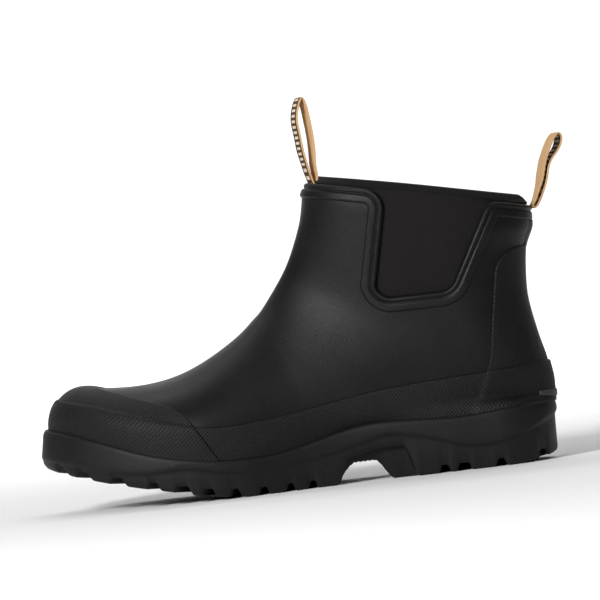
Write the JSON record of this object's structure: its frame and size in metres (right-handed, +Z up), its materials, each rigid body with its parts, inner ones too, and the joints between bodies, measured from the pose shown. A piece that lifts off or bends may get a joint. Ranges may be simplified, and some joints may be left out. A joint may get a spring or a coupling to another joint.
{
  "type": "short rubber boot",
  "caption": "Short pull-on rubber boot, left foot, with stretch side gores, toe cap, foxing band, lugged sole with heel and two tape pull loops.",
  "frame": {"origin": "on the ground under the heel's flat tread, on the heel's centre line", "axes": "+Z up, the toe towards -X, the outer side of the foot towards -Y"},
  "size_m": [0.3207, 0.11, 0.2231],
  "materials": {
    "outsole": "matte moulded rubber",
    "insole": "foam board with cloth cover",
    "upper": "matte smooth rubber",
    "sleeve": "knit-faced neoprene",
    "binding": "knit edge tape",
    "band": "satin rubber",
    "overlay": "cross-hatched matte rubber",
    "bar": "matte grey rubber",
    "tab": "coated grey tape",
    "tape": "woven tan tape"
  },
  "bodies": {
    "root": {"outsole": "outsole", "insole": "insole", "upper": "upper", "neoprene_sleeve": "sleeve", "collar_binding": "binding", "edge_band": "band", "toe_cap": "overlay", "rand": "overlay", "heel_counter": "overlay", "heel_bar": "bar", "back_tab": "tab", "pull_loop_front": "tape", "pull_loop_back": "tape"}
  },
  "joints": []
}
